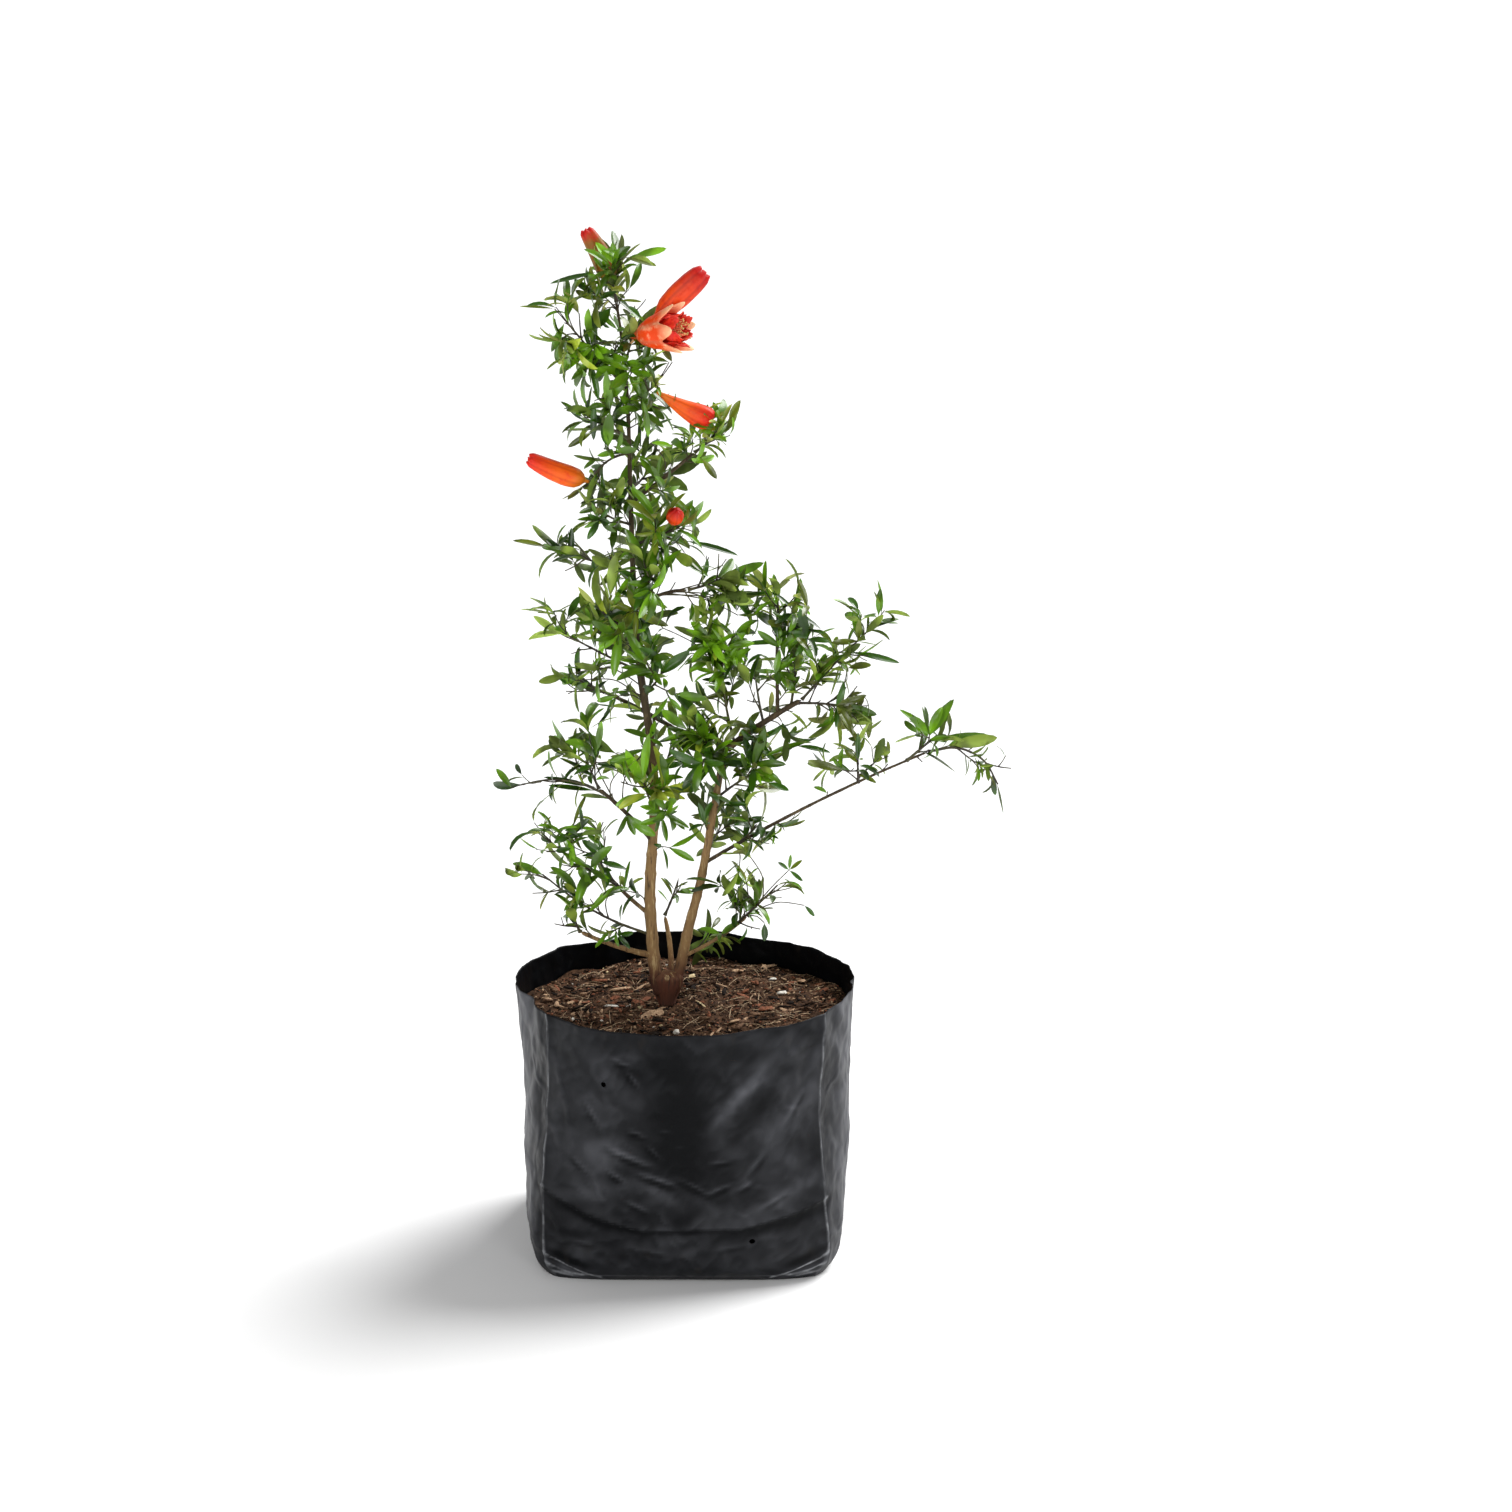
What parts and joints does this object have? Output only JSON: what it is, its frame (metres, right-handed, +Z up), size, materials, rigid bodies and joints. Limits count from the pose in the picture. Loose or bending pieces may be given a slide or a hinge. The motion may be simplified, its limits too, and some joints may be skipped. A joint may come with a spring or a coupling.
{
  "type": "pomegranate tree in a nursery bag",
  "caption": "Young dwarf pomegranate with forked stems, narrow glossy leaves and orange-red blossom, standing in a filled black film nursery bag.",
  "frame": {"origin": "centre of the bag's flat underside, on the surface it stands on", "axes": "+Z up along the plant, +X to the right of the front view, +Y to the back"},
  "size_m": [0.3486, 0.2223, 0.6667],
  "materials": {
    "bag_film": "semi-gloss black polythene film, softly creased",
    "potting_mix": "loose fibrous bark and coir with pale flecks",
    "bark": "thin tan-brown bark with fine ridges and nodes",
    "foliage": "smooth narrow leaves, deep green to yellow-green, with orange-red blossom"
  },
  "bodies": {
    "root": {"nursery_bag": "bag_film", "potting_mix": "potting_mix", "trunk": "bark", "right_stem": "bark", "inner_stem": "bark", "low_left_bough": "bark", "left_lower_bough": "bark", "left_mid_bough": "bark", "crossing_bough": "bark", "right_bough": "bark", "right_upright": "bark", "long_bough": "bark", "right_low_bough": "bark", "upper_right_bough": "bark", "right_top_bough": "bark", "top_tuft": "foliage", "upper_left_spray": "foliage", "bloom_spray": "foliage", "bud_spray": "foliage", "upper_back_spray": "foliage", "left_high_spray": "foliage", "upper_right_spray": "foliage", "left_bud_spray": "foliage", "mid_back_spray": "foliage", "red_bud_spray": "foliage", "left_tall_spray": "foliage", "left_wing_spray": "foliage", "back_low_spray": "foliage", "front_core_spray": "foliage", "shoulder_spray": "foliage", "left_reach_spray": "foliage", "knuckle_spray": "foliage", "back_mid_spray": "foliage", "front_mid_spray": "foliage", "right_top_spray": "foliage", "right_crest_spray": "foliage", "bright_spray": "foliage", "right_crown_spray": "foliage", "out_twig_spray": "foliage", "right_wing_spray": "foliage", "long_bough_spray": "foliage", "far_leaf_spray": "foliage", "far_end_spray": "foliage", "centre_spray": "foliage", "centre_left_spray": "foliage", "right_inner_spray": "foliage", "right_low_spray": "foliage", "right_foot_spray": "foliage", "right_star_spray": "foliage", "left_high_tuft": "foliage", "left_far_spray": "foliage", "left_mid_spray": "foliage", "left_outer_spray": "foliage", "left_low_spray": "foliage", "left_foot_spray": "foliage", "inner_spray": "foliage", "foot_spray": "foliage", "back_right_spray": "foliage", "back_left_spray": "foliage", "back_foot_spray": "foliage"}
  },
  "joints": []
}
